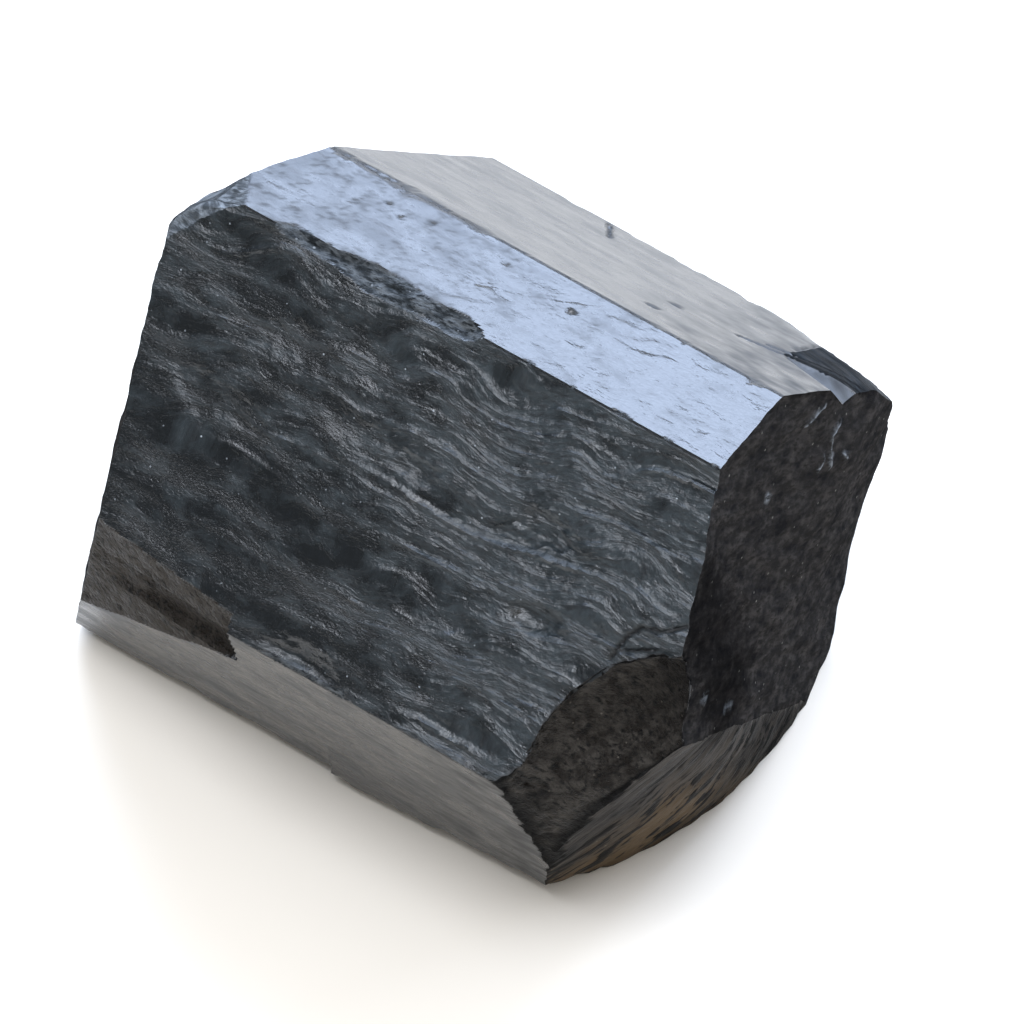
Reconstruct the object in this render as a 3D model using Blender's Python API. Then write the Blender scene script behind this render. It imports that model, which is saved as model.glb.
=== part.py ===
"""A stubby black tourmaline crystal, broken across at both ends.

One solid, lying on a side face. X runs along the crystal's long axis, Z is up, and the
origin is at the middle of its footprint. Lengths are in metres.
"""
import math

import bpy
import numpy as np
from mathutils import Vector, noise
from mathutils.geometry import delaunay_2d_cdt

# The long axis, as a line along X.
AXIS_Y = 0.0019
AXIS_Z = 0.0200

# The prism's side faces in order round the crystal: the roll of the face's normal from
# straight up (degrees), its distance from the long axis, and the mesh spacing across it.
SIDE_FACES = {
    "front": (-104.0, 0.02569, 0.0016),
    "broad": (-44.0, 0.01970, 0.0012),
    "upper": (16.0, 0.02066, 0.0015),
    "back_upper": (46.0, 0.01767, 0.0015),
    "back": (76.0, 0.02048, 0.0018),
    "back_lower": (136.0, 0.02131, 0.0020),
    "rest": (180.0, AXIS_Z, 0.0024),
    "front_lower": (196.0, 0.02375, 0.0020),
}
SPACING_ALONG = 0.00155
SPACING_END = 0.00165
# Closest that a point of the broken ends may lie to the rim and to the crease, in spacings.
RIM_GAP = 0.55
CREASE_GAP = 0.60
MERGE_DISTANCE = 1e-7

# The broken ends as planes: x on the long axis, then the slope of x along Y and Z.
RIGHT_BREAK = (0.02395, -0.2268, -0.0997)
LEFT_BREAKS = (
    (-0.03260, -0.4073, 0.1454),
    (-0.02665, 0.5430, 0.1916),
    (-0.02728, -0.0262, -0.0145),
)

# The bevel on the right end starts at a crease between two points (Y, Z). It is flat near
# the broad face and rounds over towards the rest face.
CREASE_TOP = (-0.01642, 0.02475)
CREASE_FOOT = (0.00558, 0.00136)
BEVEL_SLOPE = 0.78
BEVEL_ROUND_START = 0.10
BEVEL_ROUND_RATE = 29.0
BEVEL_BLEND = (0.05, 0.75)

# The right end bulges towards its top back corner: height, and the stretches of Y and of Z
# over which it rises.
BULGE_HEIGHT = 0.0034
BULGE_ALONG_Y = (-0.0050, 0.0240)
BULGE_ALONG_Z = (0.0035, 0.0270)

# A piece broken off the back upper face at its right back corner. It starts at a place on
# the face (X, distance across) and opens out towards the end. All the turns and slopes are
# per metre of X: where its wall bends down, where the wall's foot lies and how deep it is,
# and where the bank that climbs from the foot meets a sunken slab, and how deep that is.
NOTCH_START = (0.0169, 0.0108)
NOTCH_RUN = 0.0060
BEND_TURN = -0.40
FOOT_TURN = 0.47
FOOT_SLOPE = 0.33
SLAB_TURN = 0.87
SLAB_SLOPE = 0.10
# The slab's end is rounded off towards the broken end, and its edge towards the back face.
END_ROUND_START = 0.0195
END_ROUND_RATE = 60.0
ROUND_START = 0.0182
ROUND_OVER = 0.0020
ROUND_RATE = 75.0
ROUND_LEAD = 0.0050
# How far below the face the broken end gives way to the notch.
NOTCH_SPREAD = 0.0080

# A low swell on the front's lower edge: where it starts and ends along X, its height and
# how far it spreads to each side of the edge.
SWELL_START = -0.0017
SWELL_END = 0.0157
SWELL_HEIGHT = 0.0006
SWELL_SPREAD = 0.0050

# Corners knocked off flat: a point on the cut, the cut's outward normal, and the largest x
# that the cut reaches.
CORNER_CUTS = (
    ((-0.02465, -0.00480, 0.04135), (-0.441, 0.040, 0.897), 0.030),
    ((-0.02103, -0.02287, 0.02344), (-0.083, -0.994, -0.061), -0.0085),
)

# The shell-shaped hollow at the corner of the broad face and the right end: part of a
# flattened ball that runs out into a flat cut below it, blended over a short distance.
HOLLOW_CENTRE = (0.0308, -0.02181, 0.02443)
HOLLOW_REACH = 0.0126
HOLLOW_DEPTH = 0.0061
HOLLOW_CUT_POINT = (0.01790, -0.02436, 0.02195)
HOLLOW_CUT_NORMAL = (0.577, -0.809, -0.113)
HOLLOW_BLEND = 0.0030
HOLLOW_TURNS = 6
HOLLOW_CORE = 0.05

# Ledges that run along the broad face: each dips from its lip and rises again to the next.
LEDGE_PITCH = 0.0042
LEDGE_HEIGHT = 0.00034
LEDGE_WANDER = 0.0024
LEDGE_RUN = 0.0130
LEDGE_ACROSS = 1.6 * LEDGE_PITCH
LEDGE_LEAN = 0.06
LEDGE_SEED = 5.3
LEDGE_FAINTEST = 0.35
LEDGE_VARIATION = 0.65
LEDGE_VARIATION_SCALE = 1.7

# The unevenness of the side faces and of the broken ends.
EDGE_FADE = 0.0016
FACE_UNEVENNESS = 0.00010
FACE_SUNK = 0.6
FACE_WAVE = 0.5
FACE_WAVE_RUN = 0.009
FACE_WAVE_ACROSS = 0.004
BREAK_ROUGHNESS = 0.00030
BREAK_GRAIN = 0.0034
BREAK_STRETCH = 2.6
BREAK_FINER = 2.1
RIGHT_SEED = 3.1
LEFT_SEED = 8.7

# The material: schorl is opaque black with a faint blue, and vitreous.
BODY_COLOUR = (0.012, 0.013, 0.015, 1.0)
BODY_ROUGHNESS = 0.32
BODY_IOR = 1.635


def clear_scene():
    for old in list(bpy.data.objects):
        bpy.data.objects.remove(old)


def side_normal(face):
    roll = math.radians(SIDE_FACES[face][0])
    return np.array((math.sin(roll), math.cos(roll)))


def prism_corners():
    """The prism's corners (Y, Z); corner i is where face i starts."""
    names = list(SIDE_FACES)
    corners = []
    for index, face in enumerate(names):
        before = names[index - 1]
        normals = np.array((side_normal(before), side_normal(face)))
        offsets = np.array((SIDE_FACES[before][1], SIDE_FACES[face][1]))
        corners.append(np.linalg.solve(normals, offsets) + (AXIS_Y, AXIS_Z))
    return corners


def outline_points(corners):
    """Points round the prism: position, face, distance along the face, face width."""
    points = []
    for index, face in enumerate(SIDE_FACES):
        start = corners[index]
        run = corners[(index + 1) % len(corners)] - start
        width = float(np.linalg.norm(run))
        steps = max(2, round(width / SIDE_FACES[face][2]))
        for step in range(steps):
            points.append((start + run * step / steps, face, width * step / steps, width))
    return points


def smooth_step(low, high, value):
    t = min(1.0, max(0.0, (value - low) / (high - low)))
    return t * t * (3.0 - 2.0 * t)


def plane_x(plane, y, z):
    return plane[0] + plane[1] * (y - AXIS_Y) + plane[2] * (z - AXIS_Z)


def crease_place(y, z):
    """How far along the crease a point lies (0 to 1), and how far beyond it."""
    top = Vector(CREASE_TOP)
    crease = Vector(CREASE_FOOT) - top
    offset = Vector((y, z)) - top
    along = offset.dot(crease) / crease.length_squared
    return along, (crease.y * offset.x - crease.x * offset.y) / crease.length


def break_relief(y, z, seed):
    """Waves on a broken end, drawn out along the crease's direction."""
    along, beyond = crease_place(y, z)
    length = math.dist(CREASE_TOP, CREASE_FOOT)
    a = along * length / (BREAK_STRETCH * BREAK_GRAIN)
    b = beyond / BREAK_GRAIN
    waves = noise.noise((a, b, seed))
    waves += 0.5 * noise.noise((BREAK_FINER * a, BREAK_FINER * b, seed + 1.0))
    return BREAK_ROUGHNESS * waves


def bevel_drop(y, z):
    """How far the bevel lies below the right-hand break."""
    along, beyond = crease_place(y, z)
    if beyond <= 0.0:
        return 0.0
    rounded = BEVEL_ROUND_START + BEVEL_ROUND_RATE * beyond
    blend = smooth_step(*BEVEL_BLEND, along)
    return beyond * (BEVEL_SLOPE * (1.0 - blend) + rounded * blend)


def bulge_rise(y, z):
    return BULGE_HEIGHT * smooth_step(*BULGE_ALONG_Y, y) * smooth_step(*BULGE_ALONG_Z, z)


def right_x(y, z):
    x = plane_x(RIGHT_BREAK, y, z) - bevel_drop(y, z) + bulge_rise(y, z)
    return x + break_relief(y, z, RIGHT_SEED)


def left_x(y, z):
    x = max(plane_x(plane, y, z) for plane in LEFT_BREAKS)
    return x + break_relief(y, z, LEFT_SEED)


def ledge_depth(x, across):
    """Depth below the ledges' lips on the broad face."""
    spot = Vector((x / LEDGE_RUN, across / LEDGE_ACROSS, LEDGE_SEED))
    phase = (across - LEDGE_LEAN * x + LEDGE_WANDER * noise.noise(spot)) / LEDGE_PITCH
    tread = phase - math.floor(phase)
    varied = abs(noise.noise(spot * LEDGE_VARIATION_SCALE))
    strength = LEDGE_FAINTEST + LEDGE_VARIATION * varied
    return LEDGE_HEIGHT * strength * math.sin(math.pi * tread)


def face_relief(face, x, across, width):
    """How far a point of a side face lies below the flat face."""
    if face == "rest":
        return 0.0
    fade = smooth_step(0.0, EDGE_FADE, min(across, width - across))
    spot = (x / FACE_WAVE_RUN, across / FACE_WAVE_ACROSS, SIDE_FACES[face][0])
    depth = FACE_UNEVENNESS * (FACE_SUNK + FACE_WAVE * noise.noise(spot))
    if face == "broad":
        depth += ledge_depth(x, across)
    return depth * fade


def notch_depth(x, across):
    """Depth of the notch below the back upper face."""
    start_x, start_across = NOTCH_START
    past = max(0.0, across - ROUND_START)
    curved = min(past, ROUND_OVER)
    rounded = ROUND_RATE * curved * (2.0 * past - curved)
    rounded *= smooth_step(start_x - ROUND_LEAD, start_x, x)
    opened = min(NOTCH_RUN, max(0.0, x - start_x))
    bend = start_across + BEND_TURN * opened
    if opened == 0.0 or across <= bend:
        return rounded
    foot = start_across + FOOT_TURN * opened
    bank = start_across + SLAB_TURN * opened
    if across < foot:
        return FOOT_SLOPE * opened * (across - bend) / (foot - bend)
    slab = SLAB_SLOPE * opened + END_ROUND_RATE * max(0.0, x - END_ROUND_START) ** 2
    if across < bank:
        climbed = (across - foot) / (bank - foot)
        return FOOT_SLOPE * opened * (1.0 - climbed) + slab * climbed
    return slab + rounded


def sink_notch(point, corner, on_end):
    """Lower the crystal to the notch; corner is where the back upper face starts (Y, Z)."""
    out = side_normal("back_upper")
    offset = np.array((point.y, point.z)) - corner
    depth = notch_depth(point.x, float(offset @ (out[1], -out[0])))
    below = -float(offset @ out)
    shift = depth - below
    if on_end:
        shift = depth * (1.0 - max(0.0, below) / NOTCH_SPREAD)
    if shift <= 0.0:
        return point
    return point - Vector((0.0, *out)) * shift


def knock_corners(point):
    for place, normal, reach in CORNER_CUTS:
        place = Vector(place)
        normal = Vector(normal).normalized()
        above = (point - place).dot(normal)
        if above > 0.0 and point.x < reach:
            point = point - normal * above
    return point


def hollow_gap(point):
    """How far a point lies inside the hollow and its cut, and the direction that leads out."""
    out = Vector((0.0, *side_normal("broad")))
    offset = point - Vector(HOLLOW_CENTRE)
    height = offset.dot(out)
    flat = offset - out * height
    size = math.hypot(flat.length / HOLLOW_REACH, height / HOLLOW_DEPTH)
    slope = (flat / HOLLOW_REACH ** 2 + out * (height / HOLLOW_DEPTH ** 2)) / max(size, HOLLOW_CORE)
    inside = (1.0 - size) / slope.length
    cut_normal = Vector(HOLLOW_CUT_NORMAL).normalized()
    above = (point - Vector(HOLLOW_CUT_POINT)).dot(cut_normal)
    share = min(1.0, max(0.0, 0.5 + 0.5 * (inside - above) / HOLLOW_BLEND))
    gap = above + (inside - above) * share + HOLLOW_BLEND * share * (1.0 - share)
    way = slope.normalized() * share - cut_normal * (1.0 - share)
    return gap, way.normalized()


def dig_hollow(point):
    """Push a point that lies inside the hollow out to its wall."""
    gap, way = hollow_gap(point)
    if gap <= 0.0:
        return point
    for _ in range(HOLLOW_TURNS):
        point = point + way * gap
        gap, way = hollow_gap(point)
    return point


def swell_front(point, edge):
    """Raise the crystal a little round the front's lower edge, which is at (Y, Z)."""
    near = math.hypot(point.y - edge[0], point.z - edge[1]) / SWELL_SPREAD
    if near >= 1.0 or not SWELL_START < point.x < SWELL_END:
        return point
    rise = SWELL_HEIGHT * (1.0 - near) * (SWELL_END - point.x) / (SWELL_END - SWELL_START)
    out = side_normal("front")
    return point + Vector((0.0, out[0], out[1])) * rise


def shape_point(point, corners, on_end):
    """Take away and add what the plain broken prism lacks."""
    point = swell_front(knock_corners(point), corners[0])
    point = sink_notch(point, corners[list(SIDE_FACES).index("back_upper")], on_end)
    return dig_hollow(point)


def edge_normals():
    """For each face, the normal of the edge where it starts."""
    normals = {}
    names = list(SIDE_FACES)
    for index, face in enumerate(names):
        both = side_normal(face) + side_normal(names[index - 1])
        normals[face] = both / np.linalg.norm(both)
    return normals


def side_points(corners, outline):
    """Rings of points from the left end to the right end, with each face's relief."""
    normals = edge_normals()
    longest = max(right_x(*place) - left_x(*place) for place, *_ in outline)
    rows = round(longest / SPACING_ALONG)
    rings = []
    for row in range(rows + 1):
        ring = []
        for (y, z), face, across, width in outline:
            start, end = left_x(y, z), right_x(y, z)
            x = start + (end - start) * row / rows
            out = side_normal(face) if across > 0.0 else normals[face]
            sunk = out * face_relief(face, x, across, width)
            ring.append(shape_point(Vector((x, y - sunk[0], z - sunk[1])), corners, False))
        rings.append(ring)
    return rings


def end_grid(outline):
    """Points inside the prism's outline on a staggered grid, and the crease's points."""
    crease_top, crease_foot = np.array(CREASE_TOP), np.array(CREASE_FOOT)
    crease_steps = round(np.linalg.norm(crease_foot - crease_top) / SPACING_END)
    crease = [crease_top + (crease_foot - crease_top) * step / crease_steps
              for step in range(1, crease_steps)]
    rim = np.array([point for point, *_ in outline])
    low, high = rim.min(axis=0), rim.max(axis=0)
    row_height = SPACING_END * math.sqrt(3.0) / 2.0
    points = list(crease)
    for row in range(int((high[1] - low[1]) / row_height) + 1):
        shift = SPACING_END / 2.0 * (row % 2)
        for column in range(int((high[0] - low[0]) / SPACING_END) + 1):
            spot = low + (column * SPACING_END + shift, row * row_height)
            inset = min(SIDE_FACES[face][1] - side_normal(face) @ (spot - (AXIS_Y, AXIS_Z))
                        for face in SIDE_FACES)
            gap = min(np.linalg.norm(spot - other) for other in crease)
            if inset > RIM_GAP * SPACING_END and gap > CREASE_GAP * SPACING_END:
                points.append(spot)
    return points


def side_faces(rings, count):
    faces = []
    for row in range(len(rings) - 1):
        for step in range(count):
            a = row * count + step
            b = row * count + (step + 1) % count
            faces.append((a, b + count, b))
            faces.append((a, a + count, b + count))
    return faces


def end_triangles(outline, inner):
    """Triangles over an end, each corner given as its number among outline, then inner."""
    count = len(outline)
    flat = [Vector(place) for place, *_ in outline] + [Vector(place) for place in inner]
    rim = [(step, (step + 1) % count) for step in range(count)]
    _, _, triangles, sources, _, _ = delaunay_2d_cdt(flat, rim, [], 1, MERGE_DISTANCE)
    first = [min(source) for source in sources]
    return [tuple(first[index] for index in triangle) for triangle in triangles]


def build_crystal():
    corners = prism_corners()
    outline = outline_points(corners)
    count = len(outline)
    rings = side_points(corners, outline)
    vertices = [point for ring in rings for point in ring]
    faces = side_faces(rings, count)
    inner = end_grid(outline)
    triangles = end_triangles(outline, inner)
    last_ring = (len(rings) - 1) * count
    for first_ring, end_x, flip in ((0, left_x, True), (last_ring, right_x, False)):
        first_inner = len(vertices)
        for y, z in inner:
            vertices.append(shape_point(Vector((end_x(y, z), y, z)), corners, True))
        for triangle in triangles:
            face = [first_ring + old if old < count else first_inner + old - count
                    for old in triangle]
            faces.append(tuple(reversed(face)) if flip else tuple(face))
    mesh = bpy.data.meshes.new("tourmaline_crystal")
    mesh.from_pydata(vertices, [], faces)
    mesh.update()
    return mesh


def tourmaline_material():
    material = bpy.data.materials.new("black tourmaline")
    material.use_nodes = True
    shader = material.node_tree.nodes["Principled BSDF"]
    shader.inputs["Base Color"].default_value = BODY_COLOUR
    shader.inputs["Roughness"].default_value = BODY_ROUGHNESS
    shader.inputs["IOR"].default_value = BODY_IOR
    return material


def main():
    clear_scene()
    mesh = build_crystal()
    mesh.materials.append(tourmaline_material())
    crystal = bpy.data.objects.new("tourmaline_crystal", mesh)
    bpy.context.scene.collection.objects.link(crystal)


main()
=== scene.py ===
import math

import bpy
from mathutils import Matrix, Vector, noise
from mathutils.geometry import delaunay_2d_cdt


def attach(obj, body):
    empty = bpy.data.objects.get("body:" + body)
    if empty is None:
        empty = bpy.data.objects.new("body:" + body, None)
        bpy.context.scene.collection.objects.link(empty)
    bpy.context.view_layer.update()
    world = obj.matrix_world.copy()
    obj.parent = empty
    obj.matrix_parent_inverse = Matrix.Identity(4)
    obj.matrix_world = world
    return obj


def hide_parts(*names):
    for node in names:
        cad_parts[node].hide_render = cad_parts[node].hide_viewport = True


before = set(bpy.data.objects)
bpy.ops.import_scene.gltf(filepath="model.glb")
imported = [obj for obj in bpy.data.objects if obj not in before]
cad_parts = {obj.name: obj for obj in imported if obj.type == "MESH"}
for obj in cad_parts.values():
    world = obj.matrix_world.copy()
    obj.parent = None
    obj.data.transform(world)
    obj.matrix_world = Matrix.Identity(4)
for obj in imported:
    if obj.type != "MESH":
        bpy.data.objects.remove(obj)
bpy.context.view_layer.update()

mm = 0.001

# The crystal's form. All lengths are millimetres, and (Y, Z) pairs are places on its section.
# sides: roll of each face's normal from straight up in degrees, its distance from the long
# axis, and how far apart the mesh points lie across it.
crystal = {
    "axis": (1.9, 20.0),
    "sides": {
        "front": (-104.0, 25.69, 0.32),
        "broad": (-44.0, 19.70, 0.205),
        "upper": (16.0, 20.66, 0.25),
        "backUpper": (46.0, 17.67, 0.32),
        "back": (76.0, 20.48, 0.55),
        "backLower": (136.0, 21.31, 0.65),
        "rest": (180.0, 20.0, 1.10),
        "frontLower": (196.0, 23.75, 0.50),
    },
    "rows": 190,
    "rightSpacing": 0.42,
    "leftSpacing": 0.60,
    # broken ends as planes: x on the axis, slope along Y, slope along Z
    "rightBreak": (23.95, -0.2268, -0.0997),
    "leftBreaks": ((-32.60, -0.4073, 0.1454), (-26.65, 0.5430, 0.1916),
                   (-27.28, -0.0262, -0.0145)),
    "creaseTop": (-16.42, 24.75),
    "creaseFoot": (5.58, 1.36),
    "bevelSlope": 0.78,
    "bevelRoundStart": 0.10,
    "bevelRoundRate": 0.029,
    # the right end bulges towards its top back corner: height, from and to along Y and Z
    "bulge": (3.4, (-5.0, 24.0), (3.5, 27.0)),
    "swellRange": (-1.7, 15.7),
    "swellHeight": 0.6,
    "swellSpread": 5.0,
    # corners knocked off: point on the cut, outward normal, largest x that it reaches
    "cornerCuts": {
        "topLeft": ((-24.65, -4.80, 41.35), (-0.441, 0.040, 0.897), 30.0),
        "tip": ((-26.19, -6.72, 39.07), (-0.335, -0.447, 0.829), -20.0),
        "bottomLeft": ((-21.03, -22.87, 23.44), (-0.083, -0.994, -0.061), -8.5),
    },
    # the shell-shaped hollow runs out into a flat cut below it; its rim is darkened with painted
    # shade
    "hollow": {"centre": (30.8, -21.81, 24.43), "reach": 12.6, "depth": 6.1,
               "cutPoint": (17.90, -24.36, 21.95), "cutNormal": (0.577, -0.809, -0.113),
               "blend": 3.0, "ragged": 0.45, "rimShadeWidth": 1.5, "rimReach": 0.15, "rimShade": 0.9,
               "endReach": 0.42, "fadeIn": 1.2},
    # how rough the knocked-off corners are: grain and height
    "cutRubble": (1.6, 0.25),
    "edgeFade": 0.9,
    "sharpAngle": 38.0,
    "wearReach": 3.0,
    "chipShows": 0.06,
    # worn edges face midway between their two faces, but these lean to one of them, and one
    # stays glossy
    "wearLean": {"backUpper": 0.25, "upper": 0.35},
    "glossyWear": ("backUpper",),
    # the front is darker and rougher towards the right: from, to, how much
    "frontDarkening": (2.0, 19.0, 0.62),
    # what each broken place looks like
    "hitKinds": {"topLeft": "chipped", "tip": "chipped", "bottomLeft": "shell", "hollow": "shell",
                 "chip": "crumbled", "slab": "slate"},
    # painted shade on the darkest place on the right end: a line (x, y, z), how far it is full
    # and where it ends, how dark it is; then the grain and reach of its ragged border
    "shade": ((25.1, -9.6, 34.0), (26.0, -6.4, 18.0), 1.5, 7.5, 0.66),
    "shadeBorder": (2.5, 1.5),
    # how strong the iron stain is on the old breaks
    "hitStains": {"bottomLeft": 0.55, "hollow": 0.30},
}

# The broad face: silky ledges that run along it. Each ledge system has a pitch, a height, how
# far it wanders, over what run, and a seed. Silk, with the painted sheen that lightens its colour,
# grows along x and across: from, to, how much; its patches have a run, a width and a strength.
# Hollows: x, across, length, width, depth.
broadFace = {
    "ledges": ((4.2, 0.28, 2.4, 13.0, 5.3), (2.1, 0.12, 0.9, 7.0, 11.2)),
    "lean": 0.06,
    "silkAndSheenAlong": (-14.0, 15.0, 0.85),
    "silkAndSheenAcross": (5.0, 20.0, 0.50),
    "silkAndSheenPatches": (9.0, 4.5, 0.45),
    "silkAndSheenHeldBack": 0.25,
    "calmFrom": -28.5,
    "calmTo": -22.0,
    "lipShare": 0.095,
    "riser": 0.40,
    "fallBack": 0.5,
    "hollows": ((-12.5, 23.0, 4.2, 1.8, 0.35), (-17.3, 16.1, 4.6, 1.8, 0.40),
                (11.9, 19.6, 3.2, 1.3, 0.45), (14.5, 13.0, 2.6, 1.2, 0.50),
                (0.1, 18.8, 2.6, 1.1, 0.35), (-6.1, 19.2, 3.0, 1.2, 0.30),
                (-1.9, 0.9, 3.6, 1.6, 0.90)),
    "cracks": (((21.0, 13.2), (21.4, 15.2), (22.2, 16.6), (24.2, 17.2), (25.6, 18.4)),
               ((21.4, 14.1), (24.1, 15.5))),
    "crackWidth": 0.26,
    "crackDepth": 0.30,
    "grain": 0.55,
    "grainDepth": 0.06,
}

# The upper face: shallow etched patches, pits, and wrinkles with a run, a spacing, a width, a
# height and how much they dull the gloss.
upperFace = {
    "gloss": (-30.0, 26.0),
    "patchRun": 4.5,
    "patchAcross": 2.2,
    "patchDepth": 0.07,
    "wrinkles": (3.2, 1.5, 0.11, 0.03, 0.6),
    "pits": ((-15.2, 6.3, 0.42, 0.25, 0.16), (-13.1, 7.9, 0.42, 0.22, 0.16),
             (-11.5, 7.1, 0.40, 0.22, 0.16), (-2.3, 8.4, 0.50, 0.26, 0.16),
             (4.5, 7.2, 0.62, 0.26, 0.2), (-9.3, 8.3, 0.42, 0.25, 0.16)),
    "swirls": (((-3.6, 4.2), (-1.8, 5.6), (0.6, 6.4), (3.2, 7.9), (5.6, 9.2)),
               ((3.2, 6.2), (5.4, 6.6), (7.4, 7.1))),
    "swirlWidth": 0.35,
    "swirlDepth": 0.06,
}

# The face behind it: flow lines along the crystal, pits and cracks.
backUpperFace = {
    "flow": ((14.0, 1.3, 0.020, 3.1), (7.0, 0.5, 0.005, 7.7)),
    "pits": ((7.8, 4.6, 0.7, 0.35, 0.22), (8.3, 8.4, 0.8, 0.35, 0.25)),
    "cracks": (((-3.6, 20.6), (-2.6, 18.6), (-1.9, 17.0)),),
    "glints": (((9.2, 8.6), (14.6, 8.3)),),
    "glintWidth": 0.42,
    "glintHeight": 0.14,
    "dull": (4.0, 20.0, 0.60),
    "crackWidth": 0.28,
    "crackDepth": 0.20,
    "grooves": (((13.5, 9.6), (16.7, 11.0), (19.2, 13.4), (23.0, 16.9)),
                ((15.5, 11.5), (17.2, 12.6), (19.0, 14.3), (23.0, 18.0)),
                ((16.75, 14.4), (16.85, 21.5))),
}

# A piece broken off its right back corner. It starts at a place on the face and opens out
# towards the end: where its wall bends down and its foot lies, where the bank that climbs from
# the foot meets a sunken slab, and how deep they are, all for each millimetre along.
notch = {
    "start": (16.9, 10.8),
    "run": 6.0,
    "bendTurn": -0.40,
    "footTurn": 0.47,
    "footSlope": 0.33,
    "slabTurn": 0.87,
    "slabSlope": 0.10,
    "endRoundFrom": 19.5,
    "endRoundRate": 0.06,
    "roundFrom": 18.2,
    "roundRate": 0.075,
    "roundOver": 2.0,
    "roundLead": 5.0,
    "spread": 8.0,
    "snap": 0.16,
    "backSnap": 0.14,
    "backFrom": 0.4,
}

# Striations along the prism: run, spacing, depth, seed.
striatedFaces = {
    "front": ((22.0, 1.4, 0.05, 2.2), (9.0, 0.5, 0.018, 6.1)),
    "frontLower": ((22.0, 1.2, 0.10, 3.2), (12.0, 0.5, 0.05, 7.1)),
    "back": ((24.0, 1.6, 0.16, 4.2), (14.0, 0.8, 0.07, 8.1)),
    "backLower": ((24.0, 1.8, 0.18, 5.2), (14.0, 0.9, 0.08, 9.1)),
}

# Wear on the prism's long edges, as small flat chips: the face that starts at the edge, then
# the depth of the chips, how far they are held back, their length and a seed.
edgeWear = {
    "broad": (0.30, 0.10, 2.2, 1.5),
    "upper": (0.20, 0.15, 1.6, 2.5),
    "backUpper": (0.28, 0.0, 1.6, 3.5),
    "back": (0.20, 0.05, 3.0, 4.5),
    "backLower": (0.60, -0.10, 3.0, 5.5),
    "frontLower": (0.50, 0.00, 2.4, 7.5),
    "front": (0.40, 0.00, 2.4, 8.5),
}

# Stretches where an edge is broken away along its length: from, to, depth. They fade at the ends.
stretchFade = 2.0
brokenStretches = {
    "upper": (-19.0, 1.2, 0.75),
    "backUpper": (-20.0, -4.0, 0.22),
    "broad": (-6.0, 3.0, 0.25),
}

# Fracture surfaces: grain and roughness as on the solid, then finer rubble and fibres.
fracture = {
    "roughness": 0.30,
    "grain": 3.4,
    "stretch": 2.6,
    "rubble": ((1.3, 0.07), (0.6, 0.03)),
    "ridges": (((12.1, 32.8), (9.5, 33.3)), ((15.4, 28.9), (13.6, 28.7), (12.2, 25.5)),
               ((11.3, 27.4), (10.6, 27.0)), ((14.7, 23.8), (14.3, 25.0))),
    "highlightSpots": (((-10.7, 23.9), (-10.0, 23.0)), ((-7.0, 17.3), (-5.9, 16.4)),
                ((3.3, 31.6), (3.5, 31.0))),
    "ridgeHeight": 0.18,
    "ridgeWidth": 0.4,
    "lineSpacing": 0.16,
    # painted highlights: pale marks on the ridges and on a few spots: width, strength, raggedness
    "paintedHighlight": (0.20, 0.80, 0.12),
    # the bevel's brown: where it sets in along the crease and beyond it; then the dark edge
    "brownAlong": (0.30, 0.50),
    "brownBeyond": (3.0, 9.0),
    "darkAlong": (0.60, 0.70),
    "darkMost": 0.45,
    "bevelStriae": ((6.0, 0.9, 0.22), (3.0, 0.45, 0.10)),
    "shellRubble": ((2.6, 0.30), (1.0, 0.16)),
    # the groove along the chip below left: heights it opens and closes between, ends along x
    "chipOpens": (14.9, 15.8),
    "chipCloses": (18.8, 19.4),
    "chipRun": (-24.0, -14.0),
    "chipGroove": 0.9,
}

sideKinds = {"broad": "ledged", "backUpper": "satin"}


def easeStep(low, high, value):
    t = min(1.0, max(0.0, (value - low) / (high - low)))
    return t * t * (3.0 - 2.0 * t)


def layered(a, b, seed, octaves):
    total, size = 0.0, 1.0
    for octave in range(octaves):
        total += size * noise.noise((a, b, seed + octave))
        a, b, size = 2.1 * a, 2.1 * b, 0.5 * size
    return total


def sideNormal(face):
    roll = math.radians(crystal["sides"][face][0])
    return Vector((math.sin(roll), math.cos(roll)))


def prismCorners():
    # corner i is where face i starts
    names = list(crystal["sides"])
    corners = []
    for index, face in enumerate(names):
        before = names[index - 1]
        a, b = sideNormal(before), sideNormal(face)
        p, q = crystal["sides"][before][1], crystal["sides"][face][1]
        cross = a.x * b.y - a.y * b.x
        spot = Vector((p * b.y - q * a.y, q * a.x - p * b.x)) / cross
        corners.append(spot + Vector(crystal["axis"]))
    return corners


def outlinePoints(corners):
    # round the prism: place, face, distance along the face, face width
    points = []
    for index, face in enumerate(crystal["sides"]):
        start = corners[index]
        run = corners[(index + 1) % len(corners)] - start
        width = run.length
        steps = max(2, round(width / crystal["sides"][face][2]))
        for step in range(steps):
            points.append((start + run * (step / steps), face, width * step / steps, width))
    return points


def planeX(plane, y, z):
    return plane[0] + plane[1] * (y - crystal["axis"][0]) + plane[2] * (z - crystal["axis"][1])


def creasePlace(y, z):
    # how far along the bevel's crease a point lies (0 to 1), and how far beyond it
    top = Vector(crystal["creaseTop"])
    crease = Vector(crystal["creaseFoot"]) - top
    offset = Vector((y, z)) - top
    along = offset.dot(crease) / crease.length_squared
    return along, (crease.y * offset.x - crease.x * offset.y) / crease.length


def creaseLength():
    return (Vector(crystal["creaseFoot"]) - Vector(crystal["creaseTop"])).length


def bevelDrop(along, beyond):
    if beyond <= 0.0:
        return 0.0
    rounded = crystal["bevelRoundStart"] + crystal["bevelRoundRate"] * beyond
    blend = easeStep(0.05, 0.75, along)
    return beyond * (crystal["bevelSlope"] * (1.0 - blend) + rounded * blend)


def bulgeRise(y, z):
    height, alongY, alongZ = crystal["bulge"]
    return height * easeStep(*alongY, y) * easeStep(*alongZ, z)


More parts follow.
